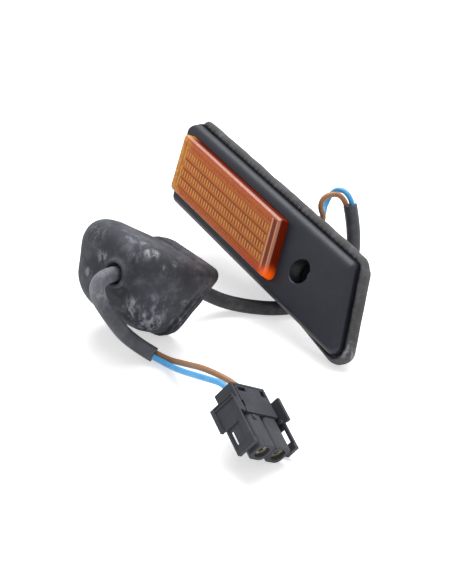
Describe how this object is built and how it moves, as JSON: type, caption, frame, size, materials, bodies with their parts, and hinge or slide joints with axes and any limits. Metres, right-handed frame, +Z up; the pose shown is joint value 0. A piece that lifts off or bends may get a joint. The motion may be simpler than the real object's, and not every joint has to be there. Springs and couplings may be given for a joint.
{
  "type": "side repeater lamp",
  "caption": "Slanted side repeater lamp for a vehicle flank: amber fluted lens in a charcoal plate on a rubber gasket, with a sheathed lead, a rubber grommet boot and a latching plug.",
  "frame": {"origin": "on the floor under the middle of the lamp's own bounding box, lead and plug left out", "axes": "+X along the lamp towards its screw end, +Y away from the lit front, +Z up, with the lamp leaning back as it lies on a table"},
  "size_m": [0.1811, 0.141, 0.0569],
  "materials": {
    "bezel": "smooth moulded, faint sheen",
    "lens_amber": "clear amber moulding, fluted inside",
    "gasket_rubber": "matte, scuffed",
    "housing": "satin moulded",
    "reflector_foil": "bright",
    "bulb_glass": "clear amber glass",
    "seal_rubber": "matte",
    "contact_brass": "dull",
    "sheath": "matte, dusty",
    "boot_rubber": "matte, dusty scuffs",
    "wire_blue": "satin",
    "wire_brown": "satin",
    "connector": "satin moulded",
    "connector_lid": "satin moulded"
  },
  "bodies": {
    "root": {"bezel_plate": "bezel", "lens": "lens_amber", "gasket": "gasket_rubber", "rear_housing": "housing", "reflector": "reflector_foil", "bulb": "bulb_glass", "bulb_holder": "housing", "holder_seal": "seal_rubber", "contact_blue": "contact_brass", "contact_brown": "contact_brass", "wire_seal": "seal_rubber", "sheath": "sheath", "boot": "boot_rubber", "lamp_wire_blue": "wire_blue", "lamp_wire_brown": "wire_brown", "plug_wire_blue": "wire_blue", "plug_wire_brown": "wire_brown", "connector_shell": "connector", "connector_cover": "connector_lid", "terminal_blue": "contact_brass", "terminal_brown": "contact_brass"}
  },
  "joints": []
}
